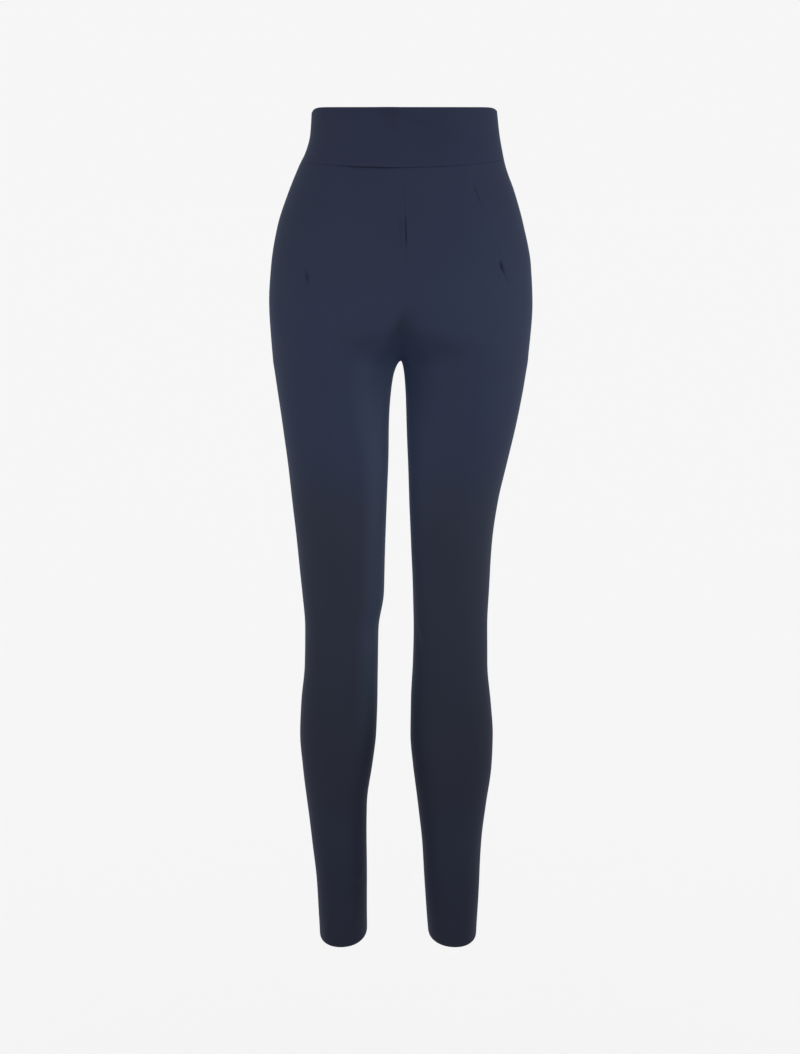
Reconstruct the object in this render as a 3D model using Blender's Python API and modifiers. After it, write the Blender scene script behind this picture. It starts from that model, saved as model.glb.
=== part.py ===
"""High-waisted trousers in their worn shape, hollow, with no wearer.

Metres, +Z up.  The origin is the middle of the waist opening, level with the top edge.
-Y is the back of the trousers, +Y the front, -X the wearer's left leg and +X the right.
Sizes in the tables are millimetres; "below" is the distance down from the top edge.
A "turn" says where a point lies round one half: 0 the middle of the back, 1 the side
seam, 2 the middle of the front.  On a leg, turns 0 and 2 meet at the inside seam.
"""
import math
from collections import namedtuple

import bmesh
import bpy
from mathutils import Vector

MM = 0.001

# ---- cloth and seams -------------------------------------------------------------------
CLOTH_WALL = 1.2        # one layer of stretch crepe, with what its seams add
BAND_WALL = 2.0         # the waistband is double
SEAM_GAP = 0.6          # on the outer face; the inner faces of two curved panels end 0.3 apart
WAIST_SEAM_GAP = 0.4    # measured up and down, between the waistband and the panels
DART_SLIT = 0.6         # width of the sewn-up dart's line on the outer face
DART_CLOSING = 40.0     # length over which that line closes to nothing at the dart's tip

# ---- heights, as distances below the top edge ------------------------------------------
WAIST_SEAM = 69.0
SEAT_TOP = 190.0        # thighs start to show in the trunk's rings
DART_TIP = 198.0        # the crotch seam starts to curve under here
CROTCH = 306.0
THIGH_TOP = 343.0       # plain tubes from here down
HEM = 1056.0

ARCH_HEIGHT = 18.0      # the gap between the thighs opens in a small arch this high
FULLEST_POWER = 0.6     # how soon the fullest part of a ring moves out to the thigh
BACK_FORK_POWER = 0.7   # 0.5 would bring the crotch seam under in a quarter of an ellipse,
FRONT_FORK_POWER = 0.6  # and the higher, the deeper it lies between the thighs
SEAM_POWER = 8          # the higher, the closer the arch keeps to the inside seam
HEM_TILT = 4.6          # the hem hangs this much lower at the back than at the sides
HEM_LIFT = 3.5          # and stands this much higher at the inside than at the outside
HEM_REACH = 120.0       # height over which both die out
LEFT_SEAM_CURVE = 4.5   # the waist seam curves up this much to the left side seam
RIGHT_SEAM_CURVE = 6.5  # and this much to the right
LEFT_DIP = 7.0          # the top edge sinks this much at the left side seam
RIGHT_DIP = 5.0         # and this much at the right
DIP_POWER = 28          # the higher, the closer the dips keep to the side seams

# ---- how finely the pieces are divided -------------------------------------------------
PANEL_COLUMNS = 12      # a back panel has half of them on each side of its dart
BAND_COLUMNS = 12       # from the middle to a side seam
BAND_ROWS = 4
DART_ROWS = 6
FORK_ROWS = 8
ARCH_ROWS = 4
LEG_ROWS = 17

# Rings of the trunk: half widths from the middle to the side seams.
TrunkWidth = namedtuple("TrunkWidth", "place below left right")
TRUNK_WIDTHS = (
    TrunkWidth("top edge", 0, 107.6, 116.0),
    TrunkWidth("band middle", 30, 109.7, 119.3),
    TrunkWidth("band foot", 50, 114.6, 122.6),
    TrunkWidth("waist seam", 69, 123.1, 126.5),
    TrunkWidth("high hip", 100, 136.0, 137.6),
    TrunkWidth("belly", 140, 149.5, 149.0),
    TrunkWidth("seat top", 190, 158.4, 158.8),
    TrunkWidth("seat", 235, 161.1, 161.0),
    TrunkWidth("crotch", 306, 157.0, 156.5),
)

# Rings of the legs: distances from the middle plane to the outside and to the inside.
LegWidth = namedtuple("LegWidth", "place below left_out left_in right_in right_out")
LEG_WIDTHS = (
    LegWidth("crotch", 306, 157.0, 5.0, 2.5, 156.5),
    LegWidth("thigh top", 324, 154.5, 9.1, 4.4, 153.8),
    LegWidth("upper thigh", 343, 152.2, 11.8, 5.7, 151.0),
    LegWidth("thigh", 381, 147.2, 14.4, 7.0, 143.9),
    LegWidth("mid thigh", 431, 141.1, 15.4, 8.9, 132.9),
    LegWidth("lower thigh", 482, 135.9, 17.3, 10.6, 121.8),
    LegWidth("thigh end", 533, 130.9, 19.2, 12.7, 114.9),
    LegWidth("above knee", 603, 124.8, 21.2, 15.5, 111.5),
    LegWidth("knee", 648, 121.6, 28.2, 16.5, 110.0),
    LegWidth("below knee", 695, 122.2, 29.0, 15.2, 110.3),
    LegWidth("upper calf", 740, 126.7, 29.8, 12.9, 114.2),
    LegWidth("calf", 783, 128.5, 31.4, 12.3, 117.6),
    LegWidth("lower calf", 823, 125.5, 36.3, 15.5, 116.3),
    LegWidth("shin", 877, 119.9, 43.5, 21.9, 109.6),
    LegWidth("lower shin", 932, 114.1, 44.2, 27.7, 103.9),
    LegWidth("ankle", 987, 108.8, 44.0, 30.6, 101.9),
    LegWidth("hem", 1056, 105.8, 44.0, 35.6, 98.8),
)

# All rings: depths from the plumb line to the back and to the front, where the ring is
# fullest, and how full a leg's ring is on its outer and inner half, where 2 is an ellipse
# and more is squarer.
Depth = namedtuple("Depth", "place below back front outer_fullness inner_fullness")
DEPTHS = (
    Depth("top edge", 0, 88, 90, 2.0, 2.0),
    Depth("band middle", 30, 88, 90, 2.0, 2.0),
    Depth("band foot", 50, 90, 93, 2.0, 2.0),
    Depth("waist seam", 69, 93, 96, 2.0, 2.0),
    Depth("high hip", 100, 101, 101, 2.0, 2.0),
    Depth("belly", 140, 113, 105, 2.0, 2.0),
    Depth("seat top", 190, 122, 104, 2.0, 2.0),
    Depth("seat", 228, 124.5, 101.5, 2.0, 2.0),
    Depth("under the seat", 262, 118, 97, 2.0, 2.0),
    Depth("crotch", 306, 107, 91, 2.0, 2.0),
    Depth("upper thigh", 343, 98, 88, 2.1, 2.1),
    Depth("thigh", 400, 91, 84, 2.2, 2.6),
    Depth("lower thigh", 482, 81, 80, 2.2, 3.0),
    Depth("above knee", 595, 62, 71, 2.2, 2.6),
    Depth("knee", 648, 57, 65, 2.2, 2.4),
    Depth("below knee", 695, 61, 58, 2.2, 2.4),
    Depth("calf", 783, 71, 47, 2.2, 2.4),
    Depth("lower calf", 823, 69, 44, 2.2, 2.3),
    Depth("shin", 877, 62, 41, 2.2, 2.2),
    Depth("ankle", 987, 52, 42, 2.2, 2.2),
    Depth("hem", 1056, 50, 46, 2.2, 2.2),
)

# The back fork is cut close, so its seam draws the cloth beside it in, from under the seat
# to the inside of the thighs: how far it is drawn in where it stands furthest back.
SeamDraw = namedtuple("SeamDraw", "place below depth")
BACK_SEAM_DRAW = (
    SeamDraw("seat", 222, 0.0),
    SeamDraw("under the seat", 244, 8.0),
    SeamDraw("narrowing", 264, 20.0),
    SeamDraw("above the crotch", 284, 32.0),
    SeamDraw("crotch", 304, 34.0),
    SeamDraw("thigh top", 322, 18.0),
    SeamDraw("upper thigh", 343, 0.0),
)
DRAW_REACH = 15.0       # half width of the part that is drawn in

# The dart's course in each back panel, and the line that carries it on down the leg.
DartLine = namedtuple("DartLine", "place below left right")
DART_LINE = (
    DartLine("waist seam", 69, 0.405, 0.405),
    DartLine("dart middle", 130, 0.455, 0.485),
    DartLine("dart tip", 198, 0.50, 0.562),
    DartLine("crotch", 306, 0.55, 0.57),
    DartLine("lower thigh", 482, 0.50, 0.50),
    DartLine("hem", 1056, 0.50, 0.50),
)

LEFT = -1
RIGHT = 1
BACK_MIDDLE = 0.0
SIDE_SEAM = 1.0
FRONT_MIDDLE = 2.0
ONWARD = 1              # towards the front, round a ring
BACKWARD = -1           # towards the back
BESIDE_ROUNDS = 4       # rounds of correction when a small distance is laid along a ring


# ---- reading the tables ----------------------------------------------------------------
def clamp(value):
    return min(max(value, 0.0), 1.0)


def bell(distance, width):
    return math.exp(-(distance / width) ** 2)


def rise(table, column, row):
    """How fast a column grows between one row and the next."""
    first, second = table[row], table[row + 1]
    return (getattr(second, column) - getattr(first, column)) / (second.below - first.below)


def slope_at(table, column, row):
    """The slope at a row; flat at a turning point, so that a curve never overshoots."""
    last = len(table) - 1
    if row in (0, last):
        return rise(table, column, min(row, last - 1))
    before = rise(table, column, row - 1)
    after = rise(table, column, row)
    if before * after <= 0:
        return 0.0
    return 2 * before * after / (before + after)


def read(table, column, below):
    """A smooth value of one column at any distance below the top edge."""
    below = min(max(below, table[0].below), table[-1].below)
    row = max(i for i in range(len(table) - 1) if table[i].below <= below)
    upper, lower = table[row], table[row + 1]
    span = lower.below - upper.below
    part = (below - upper.below) / span
    ease = part * part * (3 - 2 * part)
    value = getattr(upper, column) * (1 - ease) + getattr(lower, column) * ease
    value += (part ** 3 - 2 * part ** 2 + part) * span * slope_at(table, column, row)
    value += (part ** 3 - part ** 2) * span * slope_at(table, column, row + 1)
    return value


# ---- the rings -------------------------------------------------------------------------
def leg_reach(side, below):
    """How far one half's inside and outside stand from the middle plane, and how far the
    middle seam fills the gap between the thighs."""
    inner, outer = ("left_in", "left_out") if side == LEFT else ("right_in", "right_out")
    at_crotch = read(LEG_WIDTHS, inner, CROTCH) - SEAM_GAP / 2
    if below < CROTCH:
        inside = 0.0 if below < WAIST_SEAM else SEAM_GAP / 2
        spread = at_crotch * clamp((below - DART_TIP) / (CROTCH - DART_TIP)) ** 2
        outside = read(TRUNK_WIDTHS, "left" if side == LEFT else "right", below)
        return inside + spread, outside, spread
    fill = at_crotch * (1 - math.sqrt(clamp((below - CROTCH) / ARCH_HEIGHT))) ** 1.5
    return read(LEG_WIDTHS, inner, below), read(LEG_WIDTHS, outer, below), fill


def thigh_share(below):
    """How far the rings have gone from one trunk to two thighs."""
    part = clamp((below - SEAT_TOP) / (CROTCH - SEAT_TOP)) ** 2
    return part * part * (3 - 2 * part)


def fork_share(below, power):
    """How much of its depth the middle seam keeps as it curves under to the crotch."""
    part = clamp((below - DART_TIP) / (CROTCH - DART_TIP))
    return (1 - part * part) ** power


def centre_and_half(below):
    """The middle of a ring from back to front, and half its depth."""
    back = read(DEPTHS, "back", below)
    front = read(DEPTHS, "front", below)
    return (front - back) / 2, (front + back) / 2


def trunk_bulge(across, outside):
    """Share of its half depth that the trunk's ring has at a distance across."""
    return math.sqrt(1 - clamp(across / outside) ** 2)


def soft_greater(first, second):
    """The greater of two shares, rounded off where they are nearly equal."""
    if max(first, second) >= 1:
        return 1.0
    return 1 - ((1 - first) ** -2 + (1 - second) ** -2 - 1) ** -0.5


def leg_bulge(across, inside, outside, below, fork_power):
    """The same for a leg's ring, filled in towards the middle seam above the crotch."""
    middle = (inside + outside) / 2
    off = clamp(abs(across - middle) / (outside - middle))
    inner = across < middle
    fullness = read(DEPTHS, "inner_fullness" if inner else "outer_fullness", below)
    bulge = (1 - off ** fullness) ** (1 / fullness)
    return soft_greater(bulge, fork_share(below, fork_power)) if inner else bulge


def bulge_at(across, inside, outside, below, fork_power):
    """The same where the rings go from one trunk to two thighs."""
    thigh = thigh_share(below)
    trunk = trunk_bulge(across, outside)
    return trunk * (1 - thigh) + leg_bulge(across, inside, outside, below, fork_power) * thigh


def ring(side, below, turn):
    """A point on the outside of the cloth, seen from above, as x and y."""
    inside, outside, fill = leg_reach(side, below)
    thigh = thigh_share(below)
    trunk_x = inside + (outside - inside) * math.sin(turn * math.pi / 2)
    leg_x = inside + (outside - inside) * (1 - math.cos(turn * math.pi)) / 2
    across = trunk_x * (1 - thigh) + leg_x * thigh
    at_seam = max(0.0, math.cos(turn * math.pi)) ** SEAM_POWER
    x = side * (across - fill * at_seam)
    centre, half = centre_and_half(below)
    power = BACK_FORK_POWER if turn < SIDE_SEAM else FRONT_FORK_POWER
    fullest_at = (inside + outside) / 2 * thigh ** FULLEST_POWER
    fullest = bulge_at(fullest_at, inside, outside, below, power)
    depth = half * bulge_at(across, inside, outside, below, power) / fullest
    if turn >= SIDE_SEAM:
        return Vector((x, centre + depth))
    depth -= read(BACK_SEAM_DRAW, "depth", below) * depth / half * bell(x, DRAW_REACH)
    return Vector((x, centre - depth))


def beside(side, below, turn, gap):
    """The turn that lies a small distance round the ring from a seam line."""
    if gap == 0:
        return turn
    small = math.copysign(0.001, gap)
    for _ in range(BESIDE_ROUNDS):
        reach = ring(side, below, turn + small) - ring(side, below, turn)
        small *= abs(gap) / reach.length
    return turn + small


def level_of(side, below, turn):
    """Where a row really lies: rows by the waist seam curve up towards the sides."""
    if below < WAIST_SEAM:
        part = below / WAIST_SEAM
    else:
        part = clamp((SEAT_TOP - below) / (SEAT_TOP - WAIST_SEAM))
    curve = LEFT_SEAM_CURVE if side == LEFT else RIGHT_SEAM_CURVE
    share = part * part * (3 - 2 * part) * math.sin(turn * math.pi / 2) ** 2
    return below - curve * share


def height(side, below, turn):
    """The top edge dips at the sides, and the hem slants."""
    to_side = math.sin(turn * math.pi / 2)
    dip = (LEFT_DIP if side == LEFT else RIGHT_DIP) * to_side ** DIP_POWER
    dip *= clamp(1 - below / WAIST_SEAM)
    near_hem = clamp(1 - (HEM - below) / HEM_REACH) ** 2
    tilt = HEM_TILT * math.sin(turn * math.pi)
    lift = HEM_LIFT * (1 + math.cos(turn * math.pi)) / 2
    return -(below + dip + (tilt - lift) * near_hem)


def cloth_point(side, below, turn):
    level = level_of(side, below, turn)
    across, along = ring(side, level, turn)
    return Vector((across, along, height(side, level, turn))) * MM


# ---- rows and edges --------------------------------------------------------------------
def steps(first, last, count):
    """Equal steps from first to last, both ends kept."""
    return [first + (last - first) * i / count for i in range(count + 1)]


def band_levels():
    return steps(0.0, WAIST_SEAM - WAIST_SEAM_GAP / 2, BAND_ROWS)


def panel_levels():
    """Rows of a leg panel, closer together where the legs part."""
    dart = steps(WAIST_SEAM + WAIST_SEAM_GAP / 2, DART_TIP, DART_ROWS)
    fork = [DART_TIP + (CROTCH - DART_TIP) * math.sin(angle)
            for angle in steps(0.0, math.pi / 2, FORK_ROWS)]
    arch = [CROTCH + (THIGH_TOP - CROTCH) * part ** 2
            for part in steps(0.0, 1.0, ARCH_ROWS)]
    leg = steps(THIGH_TOP, HEM, LEG_ROWS)
    return dart + fork[1:] + arch[1:] + leg[1:]


def seam_edge(side, turn, way):
    """An edge that stands off a seam line by half the seam's gap."""
    def edge(below):
        if turn != SIDE_SEAM and below < CROTCH:
            return turn         # the middle seams already stand off the middle plane
        return beside(side, below, turn, way * SEAM_GAP / 2)
    return edge


def uncut_edge(turn):
    """A line where two strips run on into each other."""
    return lambda below: turn


def dart_edge(side, way):
    """One edge of the dart, a slit that closes to nothing at its tip."""
    def edge(below):
        closing = clamp((DART_TIP - below) / DART_CLOSING)
        turn = read(DART_LINE, "left" if side == LEFT else "right", below)
        return beside(side, below, turn, way * closing * DART_SLIT / 2)
    return edge


# ---- pieces ----------------------------------------------------------------------------
def add_strip(mesh, side, levels, first_edge, last_edge, columns):
    """A strip of cloth between two edges, each a turn that depends on the height."""
    rows = []
    for below in levels:
        turns = steps(first_edge(below), last_edge(below), columns)
        rows.append([mesh.verts.new(cloth_point(side, below, turn)) for turn in turns])
    for upper, lower in zip(rows, rows[1:]):
        for i in range(columns):
            corners = (upper[i], lower[i], lower[i + 1], upper[i + 1])
            mesh.faces.new(corners if side == RIGHT else corners[::-1])


def add_back_panel(mesh, side):
    """From the middle of the back to the side seam, with the dart between its strips."""
    columns = PANEL_COLUMNS // 2
    add_strip(mesh, side, panel_levels(), seam_edge(side, BACK_MIDDLE, ONWARD),
              dart_edge(side, BACKWARD), columns)
    add_strip(mesh, side, panel_levels(), dart_edge(side, ONWARD),
              seam_edge(side, SIDE_SEAM, BACKWARD), columns)


def add_front_panel(mesh, side):
    """From the side seam to the middle of the front."""
    add_strip(mesh, side, panel_levels(), seam_edge(side, SIDE_SEAM, ONWARD),
              seam_edge(side, FRONT_MIDDLE, BACKWARD), PANEL_COLUMNS)


def add_back_band(mesh, side):
    """One half of the back of the waistband; the halves join with no seam."""
    add_strip(mesh, side, band_levels(), uncut_edge(BACK_MIDDLE),
              seam_edge(side, SIDE_SEAM, BACKWARD), BAND_COLUMNS)


def add_front_band(mesh, side):
    add_strip(mesh, side, band_levels(), seam_edge(side, SIDE_SEAM, ONWARD),
              uncut_edge(FRONT_MIDDLE), BAND_COLUMNS)


def cloth_material(name, colour, roughness):
    """Matt dyed cloth with a little sheen."""
    material = bpy.data.materials.new(name)
    material.use_nodes = True
    shader = material.node_tree.nodes["Principled BSDF"]
    shader.inputs["Base Color"].default_value = (*colour, 1.0)
    shader.inputs["Roughness"].default_value = roughness
    shader.inputs["Sheen Weight"].default_value = 0.3
    material.diffuse_color = (*colour, 1.0)
    return material


def cloth_piece(name, collection, material, wall, add_half, sides):
    """A sewn piece: its outer face from strips, its wall laid inwards."""
    outline = bmesh.new()
    for side in sides:
        add_half(outline, side)
    bmesh.ops.remove_doubles(outline, verts=outline.verts, dist=0.01 * MM)
    for face in outline.faces:
        face.smooth = True
    mesh = bpy.data.meshes.new(name)
    outline.to_mesh(mesh)
    outline.free()
    mesh.materials.append(material)
    piece = bpy.data.objects.new(name, mesh)
    collection.objects.link(piece)
    shell = piece.modifiers.new("cloth wall", "SOLIDIFY")
    shell.thickness = wall * MM
    shell.offset = -1.0
    shell.use_even_offset = True
    return piece


def build_trousers():
    collection = bpy.data.collections.new("high_waisted_trousers")
    bpy.context.scene.collection.children.link(collection)
    band_cloth = cloth_material("navy_crepe_waistband", (0.024, 0.031, 0.054), 0.75)
    leg_cloth = cloth_material("navy_crepe_legs", (0.028, 0.037, 0.065), 0.72)
    both = (LEFT, RIGHT)
    cloth_piece("waistband_back", collection, band_cloth, BAND_WALL, add_back_band, both)
    cloth_piece("waistband_front", collection, band_cloth, BAND_WALL, add_front_band, both)
    cloth_piece("back_left_leg", collection, leg_cloth, CLOTH_WALL, add_back_panel, (LEFT,))
    cloth_piece("back_right_leg", collection, leg_cloth, CLOTH_WALL, add_back_panel, (RIGHT,))
    cloth_piece("front_left_leg", collection, leg_cloth, CLOTH_WALL, add_front_panel, (LEFT,))
    cloth_piece("front_right_leg", collection, leg_cloth, CLOTH_WALL, add_front_panel, (RIGHT,))


def clear_scene():
    for item in list(bpy.data.objects):
        bpy.data.objects.remove(item, do_unlink=True)


clear_scene()
build_trousers()
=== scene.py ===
"""Looks of the high-waisted trousers: navy stretch crepe in its worn shape, with no wearer.

Metres, +Z up, in the frame of the CAD.  The origin is the middle of the waist opening.
-Y is the back of the trousers, +Y the front, -X the wearer's left leg and +X the right.
Sizes in the tables are millimetres; "below" is the distance down from the top edge.
A "turn" says where a point lies round one half: 0 the middle of the back, 1 the side
seam, 2 the middle of the front.  On a leg, turns 0 and 2 meet at the inside seam.

The rings and their tables are those of the CAD.  Here the panels meet at their seams,
the cloth is thinner, and seams, darts, turned hems and creases are worked into it.
"""
import math
from collections import namedtuple

import bmesh
import bpy
import numpy as np
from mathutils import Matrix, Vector, noise
from mathutils.geometry import intersect_point_line


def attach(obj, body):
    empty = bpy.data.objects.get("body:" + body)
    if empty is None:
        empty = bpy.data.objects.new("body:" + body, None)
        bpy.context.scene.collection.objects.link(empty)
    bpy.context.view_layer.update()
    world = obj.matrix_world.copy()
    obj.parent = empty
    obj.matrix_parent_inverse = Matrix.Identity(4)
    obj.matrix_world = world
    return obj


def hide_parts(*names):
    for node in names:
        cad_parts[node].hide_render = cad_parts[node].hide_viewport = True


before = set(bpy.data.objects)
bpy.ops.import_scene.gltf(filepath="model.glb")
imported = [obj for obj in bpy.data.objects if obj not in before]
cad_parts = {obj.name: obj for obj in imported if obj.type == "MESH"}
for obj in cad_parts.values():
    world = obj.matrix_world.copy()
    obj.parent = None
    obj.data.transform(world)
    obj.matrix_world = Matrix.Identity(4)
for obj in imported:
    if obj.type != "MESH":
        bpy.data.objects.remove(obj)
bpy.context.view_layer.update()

MM = 0.001

# ---- cloth ----------------------------------------------------------------------------
CLOTH_WALL = 0.8
BAND_WALL = 1.8         # the waistband is double
TURN_UP = 28.0          # depth of the hem's turned-up layer, on the inside
MEETING_GAP = 0.03      # what is left between two panels at a seam
SEAM_TUCK = 0.15        # at most seams each sheet runs on this far past the line,
FORK_TUCK = 0.35        # and at the crotch this much further

# ---- heights, as distances below the top edge -----------------------------------------
WAIST_SEAM = 69.0
SEAT_TOP = 190.0        # thighs start to show in the trunk's rings
DART_TIP = 198.0        # the crotch seam starts to curve under here
CROTCH = 306.0
THIGH_TOP = 343.0       # plain tubes from here down
HEM = 1056.0

ARCH_HEIGHT = 18.0      # the gap between the thighs opens in a small arch this high
ARCH_POWER = 1.5        # the higher, the sooner it opens to its full width
FULLEST_POWER = 0.6     # how soon the fullest part of a ring moves out to the thigh
BACK_FORK_POWER = 0.7   # 0.5 would bring the crotch seam under in a quarter of an ellipse,
FRONT_FORK_POWER = 0.6  # and the higher, the deeper it lies between the thighs
SEAM_POWER = 8          # the higher, the closer the arch keeps to the inside seam
HEM_TILT = 4.6          # the hem hangs this much lower at the back than at the sides
HEM_LIFT = 3.5          # and stands this much higher at the inside than at the outside
HEM_REACH = 120.0       # height over which both die out
LEFT_SEAM_CURVE = 4.5   # the waist seam curves up this much to the left side seam
RIGHT_SEAM_CURVE = 6.5  # and this much to the right
LEFT_DIP = 7.0          # the top edge sinks this much at the left side seam
RIGHT_DIP = 5.0         # and this much at the right
DIP_POWER = 28          # the higher, the closer the dips keep to the side seams

# Rings of the trunk: half widths from the middle to the side seams.
TrunkWidth = namedtuple("TrunkWidth", "place below left right")
TRUNK_WIDTHS = (
    TrunkWidth("top edge", 0, 107.6, 116.0),
    TrunkWidth("band middle", 30, 109.7, 119.3),
    TrunkWidth("band foot", 50, 114.6, 122.6),
    TrunkWidth("waist seam", 69, 123.1, 126.5),
    TrunkWidth("high hip", 100, 136.0, 137.6),
    TrunkWidth("belly", 140, 149.5, 149.0),
    TrunkWidth("seat top", 190, 158.4, 158.8),
    TrunkWidth("seat", 235, 161.1, 161.0),
    TrunkWidth("crotch", 306, 157.0, 156.5),
)

# Rings of the legs: distances from the middle plane to the outside and to the inside.
LegWidth = namedtuple("LegWidth", "place below left_out left_in right_in right_out")
LEG_WIDTHS = (
    LegWidth("crotch", 306, 157.0, 5.0, 2.5, 156.5),
    LegWidth("thigh top", 324, 154.5, 9.1, 4.4, 153.8),
    LegWidth("upper thigh", 343, 152.2, 11.8, 5.7, 151.0),
    LegWidth("thigh", 381, 147.2, 14.4, 7.0, 143.9),
    LegWidth("mid thigh", 431, 141.1, 15.4, 8.9, 132.9),
    LegWidth("lower thigh", 482, 135.9, 17.3, 10.6, 121.8),
    LegWidth("thigh end", 533, 130.9, 19.2, 12.7, 114.9),
    LegWidth("above knee", 603, 124.8, 21.2, 15.5, 111.5),
    LegWidth("knee", 648, 121.6, 28.2, 16.5, 110.0),
    LegWidth("below knee", 695, 122.2, 29.0, 15.2, 110.3),
    LegWidth("upper calf", 740, 126.7, 29.8, 12.9, 114.2),
    LegWidth("calf", 783, 128.5, 31.4, 12.3, 117.6),
    LegWidth("lower calf", 823, 125.5, 36.3, 15.5, 116.3),
    LegWidth("shin", 877, 119.9, 43.5, 21.9, 109.6),
    LegWidth("lower shin", 932, 114.1, 44.2, 27.7, 103.9),
    LegWidth("ankle", 987, 108.8, 44.0, 30.6, 101.9),
    LegWidth("hem", 1056, 105.8, 44.0, 35.6, 98.8),
)

# All rings: depths from the plumb line to the back and to the front, where the ring is
# fullest, and how full a leg's ring is on its outer and inner half, where 2 is an ellipse
# and more is squarer.
Depth = namedtuple("Depth", "place below back front outer_fullness inner_fullness")
DEPTHS = (
    Depth("top edge", 0, 88, 90, 2.0, 2.0),
    Depth("band middle", 30, 88, 90, 2.0, 2.0),
    Depth("band foot", 50, 90, 93, 2.0, 2.0),
    Depth("waist seam", 69, 93, 96, 2.0, 2.0),
    Depth("high hip", 100, 101, 101, 2.0, 2.0),
    Depth("belly", 140, 113, 105, 2.0, 2.0),
    Depth("seat top", 190, 122, 104, 2.0, 2.0),
    Depth("seat", 228, 124.5, 101.5, 2.0, 2.0),
    Depth("under the seat", 262, 118, 97, 2.0, 2.0),
    Depth("crotch", 306, 107, 91, 2.0, 2.0),
    Depth("upper thigh", 343, 98, 88, 2.1, 2.1),
    Depth("thigh", 400, 91, 84, 2.2, 2.6),
    Depth("lower thigh", 482, 81, 80, 2.2, 3.0),
    Depth("above knee", 595, 62, 71, 2.2, 2.6),
    Depth("knee", 648, 57, 65, 2.2, 2.4),
    Depth("below knee", 695, 61, 58, 2.2, 2.4),
    Depth("calf", 783, 71, 47, 2.2, 2.4),
    Depth("lower calf", 823, 69, 44, 2.2, 2.3),
    Depth("shin", 877, 62, 41, 2.2, 2.2),
    Depth("ankle", 987, 52, 42, 2.2, 2.2),
    Depth("hem", 1056, 50, 46, 2.2, 2.2),
)

# The back fork is cut close, so its seam draws the cloth beside it in, from under the seat
# to the inside of the thighs: how far it is drawn in where it stands furthest back.
SeamDraw = namedtuple("SeamDraw", "place below depth")
BACK_SEAM_DRAW = (
    SeamDraw("seat", 222, 0.0),
    SeamDraw("under the seat", 244, 8.0),
    SeamDraw("narrowing", 264, 20.0),
    SeamDraw("above the crotch", 284, 32.0),
    SeamDraw("crotch", 304, 34.0),
    SeamDraw("thigh top", 322, 18.0),
    SeamDraw("upper thigh", 343, 0.0),
)
DRAW_REACH = 15.0       # half width of the part that is drawn in

# The dart's course in each back panel, and the line that carries it on down the leg.
DartLine = namedtuple("DartLine", "place below left right")
DART_LINE = (
    DartLine("waist seam", 69, 0.405, 0.405),
    DartLine("dart middle", 130, 0.455, 0.485),
    DartLine("dart tip", 198, 0.50, 0.562),
    DartLine("crotch", 306, 0.55, 0.57),
    DartLine("lower thigh", 482, 0.50, 0.50),
    DartLine("hem", 1056, 0.50, 0.50),
)

# How deep each dart's line lies; the left one is pressed flat and hardly shows.
DartDepth = namedtuple("DartDepth", "place below left right")
DART_DEPTHS = (
    DartDepth("waist seam", 69, 0.0, 0.1),
    DartDepth("clear of the seam", 90, 0.1, 0.3),
    DartDepth("pressed line", 98, 0.1, 1.3),
    DartDepth("its end", 114, 0.1, 0.9),
    DartDepth("flat stretch", 121, 0.1, 0.08),
    DartDepth("flat stretch's end", 156, 0.1, 0.08),
    DartDepth("above the tip", 168, 0.2, 0.8),
    DartDepth("near the tip", 182, 0.2, 0.2),
    DartDepth("dart tip", 198, 0.0, 0.0),
)

# The middle seam at the back: how far it strays to the wearer's right, how deep its line
# lies in the cloth, and how high the ridge pressed into the cloth on its left stands.
BackSeam = namedtuple("BackSeam", "place below stray depth ridge")
BACK_SEAM = (
    BackSeam("waist seam", 69, 3.2, 0.12, 0.0),
    BackSeam("below it", 92, 3.4, 0.20, 0.0),
    BackSeam("high hip", 110, 4.8, 0.30, 0.0),
    BackSeam("above the pressed part", 122, 4.9, 0.14, 0.0),
    BackSeam("pressed part", 127, 5.3, 1.45, 1.20),
    BackSeam("its end", 155, 6.0, 1.25, 1.10),
    BackSeam("seat", 160, 5.9, 0.18, 0.0),
    BackSeam("lower seat", 190, 7.2, 0.18, 0.0),
    BackSeam("end of the seat", 222, 6.0, 0.06, 0.0),
    BackSeam("under the seat", 262, 3.0, 0.06, 0.0),
    BackSeam("crotch", 306, 0.0, 0.35, 0.0),
)
STRAY_REACH = 55.0      # the cloth beside the seam strays with it, this far

# ---- how finely the sheets are divided ------------------------------------------------
EDGE_STEPS = (0.0, 0.25, 0.8, 1.7, 2.9, 4.4, 6.2)     # columns and rows close to an edge
HALF_PANEL_COLUMNS = 12
PANEL_COLUMNS = 20
BAND_COLUMNS = 22
BAND_ROWS = 11
DART_ROWS = 42
FORK_ROWS = 26
ARCH_ROWS = 7
LEG_ROWS = 96

LEFT = -1
RIGHT = 1
ONWARD = 1              # towards the front, round a ring
BACKWARD = -1           # towards the back
BACK_MIDDLE = 0.0
SIDE_SEAM = 1.0
FRONT_MIDDLE = 2.0
FAR = 1000.0            # a distance that says: no such line near here
TURN_STEP = 0.001       # a small turn, to measure how long a turn is


# ---- reading the tables ---------------------------------------------------------------
def clamp(value):
    return min(max(value, 0.0), 1.0)


def bell(distance, width):
    """1 on a line, and soft to nothing beside it."""
    return math.exp(-(distance / width) ** 2)


def rise(table, column, row):
    """How fast a column grows between one row and the next."""
    first, second = table[row], table[row + 1]
    return (getattr(second, column) - getattr(first, column)) / (second.below - first.below)


def slope_at(table, column, row):
    """The slope at a row; flat at a turning point, so that a curve never overshoots."""
    last = len(table) - 1
    if row in (0, last):
        return rise(table, column, min(row, last - 1))
    before = rise(table, column, row - 1)
    after = rise(table, column, row)
    if before * after <= 0:
        return 0.0
    return 2 * before * after / (before + after)


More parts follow.
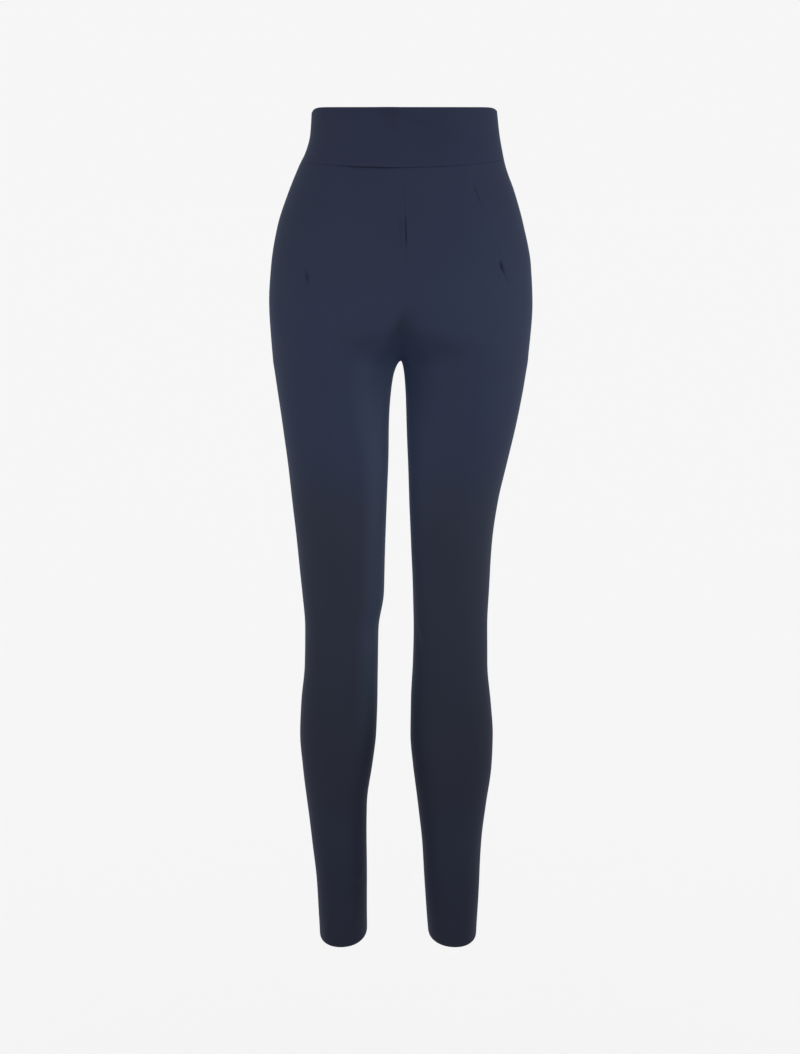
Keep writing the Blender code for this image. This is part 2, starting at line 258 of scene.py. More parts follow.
def read(table, column, below):
    """A smooth value of one column at any distance below the top edge."""
    below = min(max(below, table[0].below), table[-1].below)
    row = max(i for i in range(len(table) - 1) if table[i].below <= below)
    upper, lower = table[row], table[row + 1]
    span = lower.below - upper.below
    part = (below - upper.below) / span
    ease = part * part * (3 - 2 * part)
    value = getattr(upper, column) * (1 - ease) + getattr(lower, column) * ease
    value += (part ** 3 - 2 * part ** 2 + part) * span * slope_at(table, column, row)
    value += (part ** 3 - part ** 2) * span * slope_at(table, column, row + 1)
    return value


# ---- the rings ------------------------------------------------------------------------
def leg_reach(side, below, row):
    """How far one half's inside and outside stand from the middle plane, and how far the
    middle seam fills the gap between the thighs.  Only the legs have a middle seam."""
    inner, outer = ("left_in", "left_out") if side == LEFT else ("right_in", "right_out")
    at_crotch = read(LEG_WIDTHS, inner, CROTCH) - MEETING_GAP / 2
    if below < CROTCH:
        inside = 0.0 if row < WAIST_SEAM else MEETING_GAP / 2
        spread = at_crotch * clamp((below - DART_TIP) / (CROTCH - DART_TIP)) ** 2
        outside = read(TRUNK_WIDTHS, "left" if side == LEFT else "right", below)
        return inside + spread, outside, spread
    fill = at_crotch * (1 - math.sqrt(clamp((below - CROTCH) / ARCH_HEIGHT))) ** ARCH_POWER
    return read(LEG_WIDTHS, inner, below), read(LEG_WIDTHS, outer, below), fill


def thigh_share(below):
    """How far the rings have gone from one trunk to two thighs."""
    part = clamp((below - SEAT_TOP) / (CROTCH - SEAT_TOP)) ** 2
    return part * part * (3 - 2 * part)


def fork_share(below, power):
    """How much of its depth the middle seam keeps as it curves under to the crotch."""
    part = clamp((below - DART_TIP) / (CROTCH - DART_TIP))
    return (1 - part * part) ** power


def centre_and_half(below):
    """The middle of a ring from back to front, and half its depth."""
    back = read(DEPTHS, "back", below)
    front = read(DEPTHS, "front", below)
    return (front - back) / 2, (front + back) / 2


def trunk_bulge(across, outside):
    """Share of its half depth that the trunk's ring has at a distance across."""
    return math.sqrt(1 - clamp(across / outside) ** 2)


def soft_greater(first, second):
    """The greater of two shares, rounded off where they are nearly equal."""
    if max(first, second) >= 1:
        return 1.0
    return 1 - ((1 - first) ** -2 + (1 - second) ** -2 - 1) ** -0.5


def ring_at(side, below, row):
    """The ring of one half at one height, as a function from a turn to a point, in mm.
    The row's own place tells the waistband from the legs."""
    inside, outside, fill = leg_reach(side, below, row)
    thigh = thigh_share(below)
    back_fork = fork_share(below, BACK_FORK_POWER)
    front_fork = fork_share(below, FRONT_FORK_POWER)
    outer_fullness = read(DEPTHS, "outer_fullness", below)
    inner_fullness = read(DEPTHS, "inner_fullness", below)
    middle = (inside + outside) / 2
    centre, half = centre_and_half(below)
    stray = read(BACK_SEAM, "stray", below) if WAIST_SEAM <= row < CROTCH else 0.0
    draw = read(BACK_SEAM_DRAW, "depth", below)

    def leg_bulge(across, fork):
        off = clamp(abs(across - middle) / (outside - middle))
        fullness = inner_fullness if across < middle else outer_fullness
        bulge = (1 - off ** fullness) ** (1 / fullness)
        return soft_greater(bulge, fork) if across < middle else bulge

    def bulge(across, fork):
        return trunk_bulge(across, outside) * (1 - thigh) + leg_bulge(across, fork) * thigh

    fullest_at = middle * thigh ** FULLEST_POWER
    back_half = half / bulge(fullest_at, back_fork)
    front_half = half / bulge(fullest_at, front_fork)

    def point(turn):
        trunk_x = inside + (outside - inside) * math.sin(turn * math.pi / 2)
        leg_x = inside + (outside - inside) * (1 - math.cos(turn * math.pi)) / 2
        across = trunk_x * (1 - thigh) + leg_x * thigh
        at_seam = max(0.0, math.cos(turn * math.pi)) ** SEAM_POWER
        x = side * (across - fill * at_seam)
        if turn < SIDE_SEAM:
            depth = bulge(across, back_fork) * back_half
            depth -= draw * depth / half * bell(x, DRAW_REACH)
            x += stray * bell(x, STRAY_REACH)
            y = centre - depth
        else:
            y = centre + bulge(across, front_fork) * front_half
        return Vector((x, y, height(side, below, turn)))

    return point


def level_of(side, below, turn):
    """Where a row really lies: rows by the waist seam curve up towards the sides."""
    if below < WAIST_SEAM:
        part = below / WAIST_SEAM
    else:
        part = clamp((SEAT_TOP - below) / (SEAT_TOP - WAIST_SEAM))
    curve = LEFT_SEAM_CURVE if side == LEFT else RIGHT_SEAM_CURVE
    share = part * part * (3 - 2 * part) * math.sin(turn * math.pi / 2) ** 2
    return below - curve * share


def height(side, below, turn):
    """The top edge dips at the sides, and the hem slants."""
    to_side = math.sin(turn * math.pi / 2)
    dip = (LEFT_DIP if side == LEFT else RIGHT_DIP) * abs(to_side) ** DIP_POWER
    dip *= clamp(1 - below / WAIST_SEAM)
    near_hem = clamp(1 - (HEM - below) / HEM_REACH) ** 2
    tilt = HEM_TILT * math.sin(turn * math.pi)
    lift = HEM_LIFT * (1 + math.cos(turn * math.pi)) / 2
    return -(below + dip + (tilt - lift) * near_hem)


def curved_row(side, below):
    """A row of a sheet, as a function from a turn to a point, each at its own level."""
    if below >= SEAT_TOP:
        return ring_at(side, below, below)
    return lambda turn: ring_at(side, level_of(side, below, turn), below)(turn)


# ---- rows and columns -----------------------------------------------------------------
def steps(first, last, count):
    """Equal steps from first to last, both ends kept."""
    return [first + (last - first) * i / count for i in range(count + 1)]


def with_close_edges(first, last, count, mm_per_unit_first=1.0, mm_per_unit_last=1.0):
    """Steps from first to last, closer together near both ends."""
    near_first = [first + gap / mm_per_unit_first for gap in EDGE_STEPS]
    near_last = [last - gap / mm_per_unit_last for gap in reversed(EDGE_STEPS)]
    between = steps(near_first[-1], near_last[0], count)
    return near_first + between[1:-1] + near_last


def band_levels():
    return with_close_edges(0.0, WAIST_SEAM - MEETING_GAP / 2, BAND_ROWS)


def panel_levels():
    """Rows of a leg panel, closer together at the waist seam, the crotch and the hem."""
    top = WAIST_SEAM + MEETING_GAP / 2
    seam = [top + gap for gap in EDGE_STEPS]
    dart = steps(seam[-1], DART_TIP, DART_ROWS)
    fork = [DART_TIP + (CROTCH - DART_TIP) * math.sin(angle)
            for angle in steps(0.0, math.pi / 2, FORK_ROWS)]
    arch = [CROTCH + (THIGH_TOP - CROTCH) * part ** 2
            for part in steps(0.0, 1.0, ARCH_ROWS)]
    hem = [HEM - gap for gap in reversed(EDGE_STEPS)]
    leg = steps(THIGH_TOP, hem[0], LEG_ROWS)
    return seam + dart[1:] + fork[1:] + arch[1:] + leg[1:] + hem[1:]


# A place on a sheet: how far it is from the sheet's sewn edges and from its dart.
Spot = namedtuple("Spot", "side below turn point to_middle to_side to_dart")


def mm_per_turn(point, turn, way):
    return (point(turn + TURN_STEP * way) - point(turn)).length / TURN_STEP


def strip_turns(point, first, last, count):
    """Turns across a strip of cloth, from one of its edges to the other."""
    way = ONWARD if last > first else BACKWARD
    at_first = mm_per_turn(point, first, way) * way
    at_last = mm_per_turn(point, last, -way) * way
    return with_close_edges(first, last, count, at_first, at_last)


def distances(points, start):
    """Distance along a row from one of its points to each of them."""
    along = [0.0]
    for one, other in zip(points, points[1:]):
        along.append(along[-1] + (other - one).length)
    return [abs(value - along[start]) for value in along]


def spots_of_row(side, below, turns, middle_at, side_at, dart_at):
    """One row of a sheet; each *_at is the column of that line, or None."""
    point = curved_row(side, below)
    points = [point(turn) for turn in turns]
    if middle_at is not None and below <= CROTCH:
        tuck = SEAM_TUCK + FORK_TUCK * thigh_share(below)
        points[middle_at].x -= side * (MEETING_GAP / 2 + tuck)
    far = [FAR] * len(turns)
    to_middle = far if middle_at is None else distances(points, middle_at)
    to_side = far if side_at is None else distances(points, side_at)
    to_dart = far if dart_at is None else distances(points, dart_at)
    return [Spot(side, below, *values)
            for values in zip(turns, points, to_middle, to_side, to_dart)]


def past_side_seam(point, way):
    """Where a sheet's edge ends: tucked a little past the side seam, so that it closes."""
    return SIDE_SEAM + way * SEAM_TUCK / mm_per_turn(point, SIDE_SEAM, way)


def back_panel_row(side, below):
    """From the middle seam over the dart line to the side seam."""
    point = curved_row(side, below)
    dart = read(DART_LINE, "left" if side == LEFT else "right", below)
    inner = strip_turns(point, BACK_MIDDLE, dart, HALF_PANEL_COLUMNS)
    outer = strip_turns(point, dart, past_side_seam(point, ONWARD), HALF_PANEL_COLUMNS)
    turns = inner + outer[1:]
    return spots_of_row(side, below, turns, 0, len(turns) - 1, len(inner) - 1)


def front_panel_row(side, below):
    """From the side seam to the middle seam of the front."""
    point = curved_row(side, below)
    edge = past_side_seam(point, BACKWARD)
    turns = strip_turns(point, edge, FRONT_MIDDLE, PANEL_COLUMNS)
    return spots_of_row(side, below, turns, len(turns) - 1, 0, None)


def back_band_row(below):
    """From the left side seam round the back to the right one."""
    halves = []
    for side in (LEFT, RIGHT):
        point = curved_row(side, below)
        edge = past_side_seam(point, ONWARD)
        turns = strip_turns(point, edge, BACK_MIDDLE, BAND_COLUMNS)
        halves.append(spots_of_row(side, below, turns, None, 0, None))
    return halves[0] + halves[1][-2::-1]


def front_band_row(below):
    """From the right side seam round the front to the left one."""
    halves = []
    for side in (RIGHT, LEFT):
        point = curved_row(side, below)
        edge = past_side_seam(point, BACKWARD)
        turns = strip_turns(point, edge, FRONT_MIDDLE, BAND_COLUMNS)
        halves.append(spots_of_row(side, below, turns, None, 0, None))
    return halves[0] + halves[1][-2::-1]


# ---- relief: seams, darts and creases, as lifts off the smooth form in mm --------------
SEAM_DEPTH = 0.35
SEAM_WIDTH = 0.85
WAIST_SEAM_WIDTH = 1.275    # the waist seam, where the panels fall away under it
SEAM_CALM = 5.0         # creases die out this close to a seam, so that its edges meet
RIDGE_AT = 2.4          # distance of the pressed ridge from the middle seam
GROOVE_AT = 4.8         # and of the groove on its other side
BAND_FOOT_SHARE = 0.5   # the band's foot is drawn in this share of the waist seam's depth
BAND_PROUD = 0.5        # and the band above it stands this share of it proud
BAND_PROUD_REACH = 9.0
DART_WIDTH = 1.1
CREASE_REACH = 3        # a crease is felt this many of its widths away
CREASE_END = 0.06       # where a crease's taper starts and ends, as a share of its length
BROAD_SPAN = 55.0       # the slow unevenness: how far apart its rises are, and how high
BROAD_LIFT = 0.35
FINE_SPAN = 19.0        # and the finer one on top of it
FINE_LIFT = 0.08
FINE_START = Vector((7.0, 3.0, 1.0))

# The waist seam at the back: deep where the cloth is slack beside the middle, and pressed
# flat where the hips fill it.  Across is the distance to the wearer's right.
WaistSeam = namedtuple("WaistSeam", "place across depth")
WAIST_SEAM_DEPTHS = (
    WaistSeam("left side", -125, 0.05),
    WaistSeam("left hip", -88, 0.10),
    WaistSeam("left end of the slack", -70, 0.55),
    WaistSeam("slack", -44, 1.35),
    WaistSeam("its middle", -14, 1.25),
    WaistSeam("middle seam", 2, 0.40),
    WaistSeam("right of the middle", 40, 0.45),
    WaistSeam("right end of the slack", 62, 0.50),
    WaistSeam("right hip", 78, 0.08),
    WaistSeam("right side", 125, 0.05),
)
FRONT_WAIST_SEAM_DEPTH = 0.4

# Creases, given one by one: from one place to another on a piece, half width and lift.
Crease = namedtuple("Crease", "place part side below turn below_end turn_end width lift")
CREASES = (
    Crease("right dart's pucker", "back", RIGHT, 177, 0.528, 192, 0.556, 2.0, -5.0),
    Crease("ridge beside it", "back", RIGHT, 172, 0.508, 198, 0.544, 3.4, 2.0),
    Crease("right dart's tail", "back", RIGHT, 190, 0.552, 206, 0.586, 2.2, -1.8),
    Crease("drag above the tip", "back", RIGHT, 150, 0.518, 182, 0.560, 5.0, 0.7),
    Crease("short drag at its top", "back", RIGHT, 71, 0.395, 82, 0.435, 2.2, 1.2),
    Crease("left dart's pucker", "back", LEFT, 188, 0.504, 211, 0.476, 2.0, -5.0),
    Crease("ridge beside it", "back", LEFT, 184, 0.484, 216, 0.452, 4.0, 1.0),
    Crease("under the left hip", "back", LEFT, 228, 0.760, 276, 0.420, 17.0, -2.6),
    Crease("under the left seat", "back", LEFT, 252, 0.560, 292, 0.220, 19.0, -3.0),
    Crease("under the right seat", "back", RIGHT, 300, 0.190, 280, 0.600, 18.0, -3.5),
    Crease("beside the crotch, right", "back", RIGHT, 286, 0.080, 348, 0.190, 12.0, -4.0),
    Crease("beside the crotch, left", "back", LEFT, 284, 0.070, 312, 0.100, 9.0, -2.5),
    Crease("left knee streak", "back", LEFT, 470, 0.420, 560, 0.470, 3.0, 0.45),
    Crease("second streak", "back", LEFT, 500, 0.330, 575, 0.380, 3.5, 0.40),
    Crease("third streak", "back", LEFT, 455, 0.560, 540, 0.600, 4.0, 0.40),
    Crease("hollow between", "back", LEFT, 480, 0.490, 560, 0.530, 5.0, -0.45),
    Crease("right knee fold", "back", RIGHT, 640, 0.120, 690, 0.260, 5.0, -1.3),
    Crease("ridge over it", "back", RIGHT, 628, 0.160, 672, 0.300, 5.0, 1.0),
    Crease("left ankle crease", "back", LEFT, 957, 0.130, 977, 0.390, 2.8, 1.9),
    Crease("hollow under it", "back", LEFT, 968, 0.130, 990, 0.390, 5.0, -0.7),
    Crease("left hem ridge", "back", LEFT, 1014, 0.640, 1052, 0.790, 2.8, 1.5),
    Crease("left hem hollow", "back", LEFT, 1018, 0.580, 1052, 0.700, 4.0, -0.8),
    Crease("drag to the left hip", "front", LEFT, 282, 1.900, 258, 1.640, 6.0, -1.4),
    Crease("ridge under it", "front", LEFT, 296, 1.860, 276, 1.600, 6.0, 1.1),
    Crease("drag to the right hip", "front", RIGHT, 276, 1.910, 246, 1.690, 5.0, -1.3),
    Crease("ridge over it", "front", RIGHT, 266, 1.900, 240, 1.720, 5.0, 0.9),
    Crease("second right drag", "front", RIGHT, 304, 1.860, 290, 1.640, 7.0, -1.2),
    Crease("left knee wrinkle", "front", LEFT, 622, 1.300, 634, 1.700, 5.0, -0.9),
    Crease("left wrinkle under it", "front", LEFT, 668, 1.420, 662, 1.760, 6.0, -0.8),
    Crease("right knee wrinkle", "front", RIGHT, 630, 1.360, 618, 1.680, 6.0, -0.8),
    Crease("left ankle wrinkle", "front", LEFT, 968, 1.760, 990, 1.420, 4.5, -1.5),
    Crease("ridge over it", "front", LEFT, 958, 1.740, 980, 1.400, 4.0, 1.2),
    Crease("right ankle wrinkle", "front", RIGHT, 984, 1.700, 972, 1.380, 5.0, -1.3),
    Crease("right hem wrinkle", "front", RIGHT, 1016, 1.220, 1040, 1.340, 3.5, -1.1),
    Crease("waistband's slack, right", "back band", RIGHT, 16, 0.000, 34, 0.300, 9.0, -4.3),
    Crease("waistband's slack, left", "back band", LEFT, 16, 0.000, 10, 0.160, 9.0, -4.3),
    Crease("waistband's right drag", "back band", RIGHT, 34, 0.520, 58, 0.680, 7.0, 1.2),
    Crease("slack at the front", "front band", LEFT, 22, 1.760, 30, 2.000, 9.0, -1.6),
    Crease("and on its right", "front band", RIGHT, 30, 2.000, 24, 1.840, 9.0, -1.6),
    Crease("left side's drag", "front band", LEFT, 52, 1.240, 30, 1.480, 6.0, -1.0),
)


def crease_path(crease, count=8):
    """Points along a crease, on the smooth form."""
    path = []
    for part in steps(0.0, 1.0, count):
        below = crease.below + (crease.below_end - crease.below) * part
        turn = crease.turn + (crease.turn_end - crease.turn) * part
        path.append(ring_at(crease.side, below, below)(turn))
    return path


def crease_lift(crease, path, point):
    """The lift that one crease gives to a point near it."""
    best_distance = FAR
    best_part = 0.0
    for i, (one, other) in enumerate(zip(path, path[1:])):
        _, part = intersect_point_line(point, one, other)
        part = clamp(part)
        distance = (one.lerp(other, part) - point).length
        if distance < best_distance:
            best_distance = distance
            best_part = (i + part) / (len(path) - 1)
    taper = math.sin(math.pi * (CREASE_END + (1 - 2 * CREASE_END) * best_part))
    return crease.lift * taper * bell(best_distance, crease.width)


def creases_of(part):
    return [(crease, crease_path(crease)) for crease in CREASES if crease.part == part]


def all_creases(spot, creases):
    total = 0.0
    for crease, path in creases:
        reach = CREASE_REACH * crease.width
        top = min(crease.below, crease.below_end) - reach
        bottom = max(crease.below, crease.below_end) + reach
        if spot.side == crease.side and top < spot.below < bottom:
            total += crease_lift(crease, path, spot.point)
    return total


def soft_unevenness(point):
    """The slight unevenness of cloth on a body: broad, shallow and slow."""
    broad = noise.noise(point / BROAD_SPAN)
    fine = noise.noise(point / FINE_SPAN + FINE_START)
    return BROAD_LIFT * broad + FINE_LIFT * fine


def waist_seam_depth(spot):
    if spot.turn > SIDE_SEAM:
        return FRONT_WAIST_SEAM_DEPTH
    return np.interp(spot.point.x, [row.across for row in WAIST_SEAM_DEPTHS],
                     [row.depth for row in WAIST_SEAM_DEPTHS])


def back_seam_lift(spot):
    """The line of the middle seam at the back, and the ridge pressed in on its left."""
    lift = -read(BACK_SEAM, "depth", spot.below) * bell(spot.to_middle, SEAM_WIDTH)
    if spot.side == LEFT:
        ridge = read(BACK_SEAM, "ridge", spot.below)
        lift += ridge * bell(spot.to_middle - RIDGE_AT, SEAM_WIDTH)
        lift -= ridge * bell(spot.to_middle - GROOVE_AT, SEAM_WIDTH)
    return lift


def panel_lift(spot, creases):
    lift = soft_unevenness(spot.point)
    lift -= SEAM_DEPTH * bell(spot.to_side, SEAM_WIDTH)
    if spot.below < CROTCH and spot.turn < SIDE_SEAM:
        lift += back_seam_lift(spot)
    else:
        lift -= SEAM_DEPTH * bell(spot.to_middle, SEAM_WIDTH)
    from_waist = spot.below - WAIST_SEAM
    if from_waist < SEAM_CALM:
        lift -= waist_seam_depth(spot) * bell(from_waist, WAIST_SEAM_WIDTH)
    dart_depth = read(DART_DEPTHS, "left" if spot.side == LEFT else "right", spot.below)
    lift -= dart_depth * bell(spot.to_dart, DART_WIDTH)
    at_seams = max(bell(spot.to_middle, SEAM_CALM), bell(spot.to_side, SEAM_CALM))
    return lift + (1 - at_seams) * all_creases(spot, creases)


def band_lift(spot, creases):
    foot = WAIST_SEAM - spot.below
    seam_depth = waist_seam_depth(spot)
    lift = soft_unevenness(spot.point)
    lift -= SEAM_DEPTH * bell(spot.to_side, SEAM_WIDTH)
    lift += BAND_PROUD * seam_depth * bell(foot, BAND_PROUD_REACH)
    lift -= BAND_FOOT_SHARE * seam_depth * bell(foot, SEAM_WIDTH)
    return lift + all_creases(spot, creases)


# ---- sheets ---------------------------------------------------------------------------
def lay_grid(mesh, rows):
    """The smooth face of a sheet from its rows of spots, with the row that each vertex is
    in and its distances in metres as its UV map."""
    grid = [[mesh.verts.new(spot.point) for spot in row] for row in rows]
    uv = mesh.loops.layers.uv.new("cloth metres")
    for upper in range(len(rows) - 1):
        for i in range(len(rows[0]) - 1):
            places = ((upper, i), (upper + 1, i), (upper + 1, i + 1), (upper, i + 1))
            mesh.faces.new([grid[row][column] for row, column in places])
    mesh.normal_update()
    mesh.verts.index_update()
    widths = [along_row(row) for row in rows]
    count = len(rows[0])
    for face in mesh.faces:
        for loop in face.loops:
            row, column = divmod(loop.vert.index, count)
            loop[uv].uv = (widths[row][column] * MM, -rows[row][0].below * MM)
    return grid


def along_row(row):
    """Distances along a row, from its middle column."""
    along = [0.0]
    for one, other in zip(row, row[1:]):
        along.append(along[-1] + (other.point - one.point).length)
    middle = along[len(along) // 2]
    return [value - middle for value in along]


def cloth_sheet(name, rows, outward, lift_at, creases, wall, material):
    """A sewn piece of cloth: its outer face with all relief, and its wall laid inwards."""
    doubled = wall == BAND_WALL
    mesh = bmesh.new()
    grid = lay_grid(mesh, rows)
    lifted = []
    for row, spots in zip(grid, rows):
        for vertex, spot in zip(row, spots):
            lift = outward * vertex.normal * lift_at(spot, creases)
            lifted.append((vertex, spot.point + lift))
    for vertex, place in lifted:
        vertex.co = place * MM
    if outward < 0:
        bmesh.ops.reverse_faces(mesh, faces=mesh.faces)
    for face in mesh.faces:
        face.smooth = True
    data = bpy.data.meshes.new(name)
    mesh.to_mesh(data)
    mesh.free()
    data.materials.append(material)
    piece = bpy.data.objects.new(name, data)
    layers = piece.vertex_groups.new(name="layers of cloth")
    for index, spot in enumerate(spot for row in rows for spot in row):
        in_hem = spot.below > HEM - TURN_UP
        layers.add([index], 1.0 if in_hem or doubled else 0.5, "REPLACE")
    shell = piece.modifiers.new("cloth wall", "SOLIDIFY")
    shell.thickness = (wall if doubled else 2 * wall) * MM
    shell.offset = -1.0
    shell.use_even_offset = False
    shell.vertex_group = "layers of cloth"
    smooth = piece.modifiers.new("smooth cloth", "SUBSURF")
    smooth.levels = 1
    smooth.render_levels = 1
    return piece


def back_panel(name, side, material):
    rows = [back_panel_row(side, below) for below in panel_levels()]
    return cloth_sheet(name, rows, side, panel_lift, creases_of("back"), CLOTH_WALL, material)


def front_panel(name, side, material):
    rows = [front_panel_row(side, below) for below in panel_levels()]
    return cloth_sheet(name, rows, side, panel_lift, creases_of("front"), CLOTH_WALL, material)


def waistband(name, row_at, part, material):
    rows = [row_at(below) for below in band_levels()]
    return cloth_sheet(name, rows, 1, band_lift, creases_of(part), BAND_WALL, material)


# ---- materials ------------------------------------------------------------------------
# The dye at its deepest and at its lightest.
Dye = namedtuple("Dye", "deep light")
BAND_DYE = Dye((0.0129, 0.0147, 0.0264), (0.0148, 0.0168, 0.0303))
LEG_DYE = Dye((0.0136, 0.0158, 0.0270), (0.0155, 0.0180, 0.0308))

# Painted shade: the knees and calves are painted greyer, less blue and a little darker, where
# less of the cool light falls; where that starts and is full, going down, in metres.
KNEE_PAINTED_SHADE = (1.0, 0.945, 0.845, 1.0)
KNEE_SHADE_FROM = (-0.40, -0.50)
KNEE_SHADE_TO = (-0.93, -0.80)


def part_of_height(nodes, links, place, start, full):
    """0 before a height is reached and 1 past another, going softly between the two."""
    split = nodes.new("ShaderNodeSeparateXYZ")
    links.new(place.outputs["Object"], split.inputs["Vector"])
    ramp = nodes.new("ShaderNodeMapRange")
    ramp.interpolation_type = "SMOOTHSTEP"
    ramp.inputs["From Min"].default_value = start
    ramp.inputs["From Max"].default_value = full
    links.new(split.outputs["Z"], ramp.inputs["Value"])
    return ramp.outputs["Result"]


def navy_crepe(name, dye):
    """Matt navy stretch crepe: a fine uneven grain, slow changes of tone, a faint sheen, and
    painted shade that makes the knees and calves greyer.
    """
    material = bpy.data.materials.new(name)
    material.use_nodes = True
    nodes = material.node_tree.nodes
    links = material.node_tree.links
    shader = nodes["Principled BSDF"]
    shader.inputs["Roughness"].default_value = 0.7
    shader.inputs["Specular IOR Level"].default_value = 0.06
    shader.inputs["Sheen Weight"].default_value = 0.04
    shader.inputs["Sheen Roughness"].default_value = 0.4
    shader.inputs["Sheen Tint"].default_value = (0.30, 0.50, 1.0, 1.0)

    place = nodes.new("ShaderNodeTexCoord")
    tone = nodes.new("ShaderNodeTexNoise")
    tone.inputs["Scale"].default_value = 14.0
    tone.inputs["Detail"].default_value = 3.0
    links.new(place.outputs["Object"], tone.inputs["Vector"])
    mix = nodes.new("ShaderNodeMix")
    mix.data_type = "RGBA"
    mix.inputs["A"].default_value = (*dye.deep, 1.0)
    mix.inputs["B"].default_value = (*dye.light, 1.0)
    links.new(tone.outputs["Fac"], mix.inputs["Factor"])
    # painted shade: the knees and calves are multiplied greyer and darker, for less of the cool
    # light falling there
    starts = part_of_height(nodes, links, place, *KNEE_SHADE_FROM)
    ends = part_of_height(nodes, links, place, *KNEE_SHADE_TO)
    within = nodes.new("ShaderNodeMath")
    within.operation = "MULTIPLY"
    links.new(starts, within.inputs[0])
    links.new(ends, within.inputs[1])
    painted_shade = nodes.new("ShaderNodeMix")
    painted_shade.data_type = "RGBA"
    painted_shade.blend_type = "MULTIPLY"
    painted_shade.inputs["B"].default_value = KNEE_PAINTED_SHADE
    links.new(within.outputs["Value"], painted_shade.inputs["Factor"])
    links.new(mix.outputs["Result"], painted_shade.inputs["A"])
    links.new(painted_shade.outputs["Result"], shader.inputs["Base Color"])

    map_uv = nodes.new("ShaderNodeUVMap")
    map_uv.uv_map = "cloth metres"
    grain = nodes.new("ShaderNodeTexNoise")
    grain.inputs["Scale"].default_value = 1500.0
    grain.inputs["Detail"].default_value = 2.0
    links.new(map_uv.outputs["UV"], grain.inputs["Vector"])
    bump = nodes.new("ShaderNodeBump")
    bump.inputs["Strength"].default_value = 0.25
    bump.inputs["Distance"].default_value = 0.0001
    links.new(grain.outputs["Fac"], bump.inputs["Height"])
    links.new(bump.outputs["Normal"], shader.inputs["Normal"])
    return material


def pale_floor_paint():
    material = bpy.data.materials.new("pale_floor")
    material.use_nodes = True
    shader = material.node_tree.nodes["Principled BSDF"]
    shader.inputs["Base Color"].default_value = (0.8, 0.8, 0.8, 1.0)
    shader.inputs["Roughness"].default_value = 1.0
    shader.inputs["Specular IOR Level"].default_value = 0.0
    shader.inputs["Emission Color"].default_value = (1.0, 1.0, 1.0, 1.0)
    shader.inputs["Emission Strength"].default_value = 0.185
    return material


# ---- the trousers ---------------------------------------------------------------------
# The cut of each sheet: width and length in metres before sewing, with turnings, and the
# area of its shape in square metres.
Cut = namedtuple("Cut", "width length area")


def declare(piece, node):
    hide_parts(node)
    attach(piece, "root")


def build_trousers(collection):
    band_cloth = navy_crepe("navy_crepe_band_cloth", BAND_DYE)
    leg_cloth = navy_crepe("navy_crepe_leg_cloth", LEG_DYE)
    back_band = waistband("back_waistband", back_band_row, "back band", band_cloth)
    front_band = waistband("front_waistband", front_band_row, "front band", band_cloth)
    collection.objects.link(back_band)
    collection.objects.link(front_band)
    declare(back_band, "waistband_back")
    declare(front_band, "waistband_front")
    for side, word in ((LEFT, "left"), (RIGHT, "right")):
        leg = bpy.data.collections.new(f"{word} leg")
        back = back_panel(f"back_{word}_panel", side, leg_cloth)
        front = front_panel(f"front_{word}_panel", side, leg_cloth)
        for piece in (back, front):
            collection.objects.link(piece)
            leg.objects.link(piece)
        declare(back, f"back_{word}_leg")
        declare(front, f"front_{word}_leg")


# ---- the studio -----------------------------------------------------------------------
FLOOR_LEVEL = -1.6
FLOOR_REACH = 30.0
SURROUND = (0.921, 0.921, 0.921, 1.0)
CAMERA_PLACE = (-0.001, -2.5, 0.0)
CAMERA_TILT = 11.682    # degrees that it looks down
SENSOR_WIDTH = 36.0
LENS = 69.38


def add_floor():
    mesh = bpy.data.meshes.new("floor")
    corners = [(x * FLOOR_REACH, y * FLOOR_REACH, FLOOR_LEVEL)
               for x, y in ((-1, -1), (1, -1), (1, 1), (-1, 1))]
    mesh.from_pydata(corners, [], [(0, 1, 2, 3)])
    mesh.materials.append(pale_floor_paint())
    floor = bpy.data.objects.new("floor", mesh)
    bpy.context.scene.collection.objects.link(floor)


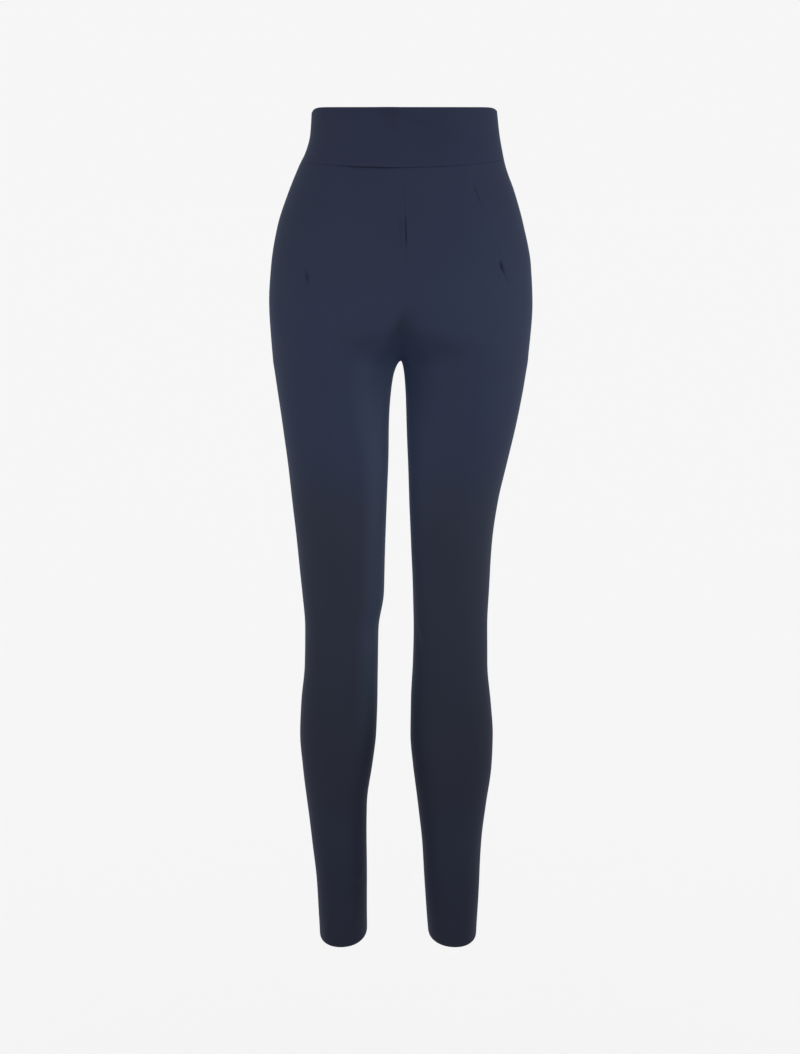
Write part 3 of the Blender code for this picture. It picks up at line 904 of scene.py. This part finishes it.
Lamp = namedtuple("Lamp", "name place target cone power lights")
LAMPS = (
    Lamp("above the camera", (0.0, -3.0, 0.7), (0.0, 0.0, -0.25), 18, 193, "trousers"),
    Lamp("from the left", (-1.05, -2.8, -0.2), (0.0, 0.0, -0.32), 23, 297, "trousers"),
    Lamp("rim on the right", (3.0, -0.5, -0.3), (0.03, 0.0, -0.22), 23, 398, "trousers"),
    Lamp("rim on the left", (-3.0, -0.5, -0.3), (-0.03, 0.0, -0.22), 23, 82, "trousers"),
    Lamp("inside of the left leg", (2.9, 0.9, -0.6), (0.0, 0.0, -0.50), 12, 430, "left leg"),
    Lamp("inside of the right leg", (-2.9, 0.9, -0.6), (0.0, 0.0, -0.50), 12, 130, "right leg"),
    Lamp("on the front", (0.0, 3.0, 0.7), (0.0, 0.0, -0.30), 24, 260, "trousers"),
)
DAYLIGHT = (0.596, 0.775, 1.0)
LAMP_SOFTNESS = 0.45    # size of the soft lamps
LEG_LAMP_SIZE = 0.02    # and of the two for one leg


def add_lamps():
    """Soft cool lamps on the trousers alone; the pale surround lights everything.  The
    lamps for one leg stand for light thrown back between the legs: nothing shades them."""
    for row in LAMPS:
        soft = row.lights == "trousers"
        light = bpy.data.lights.new(row.name, "SPOT")
        light.spot_size = math.radians(row.cone)
        light.spot_blend = 1.0
        light.shadow_soft_size = LAMP_SOFTNESS if soft else LEG_LAMP_SIZE
        light.energy = row.power
        light.color = DAYLIGHT
        light.use_shadow = soft
        lamp = bpy.data.objects.new(row.name, light)
        lamp.location = row.place
        towards = Vector(row.target) - Vector(row.place)
        lamp.rotation_euler = towards.to_track_quat("-Z", "Y").to_euler()
        bpy.context.scene.collection.objects.link(lamp)
        lamp.light_linking.receiver_collection = bpy.data.collections[row.lights]


def add_surround():
    world = bpy.data.worlds.new("pale surround")
    world.use_nodes = True
    background = world.node_tree.nodes["Background"]
    background.inputs["Color"].default_value = SURROUND
    background.inputs["Strength"].default_value = 1.0
    bpy.context.scene.world = world


def add_camera():
    lens = bpy.data.cameras.new("camera")
    lens.sensor_width = SENSOR_WIDTH
    lens.lens = LENS
    camera = bpy.data.objects.new("camera", lens)
    camera.location = CAMERA_PLACE
    camera.rotation_euler = (math.radians(90 - CAMERA_TILT), 0.0, 0.0)
    bpy.context.scene.collection.objects.link(camera)
    bpy.context.scene.camera = camera


def set_studio():
    add_floor()
    add_surround()
    add_lamps()
    add_camera()
    bpy.context.scene.view_settings.view_transform = "Standard"


trousers = bpy.data.collections.new("trousers")
bpy.context.scene.collection.children.link(trousers)
build_trousers(trousers)
set_studio()
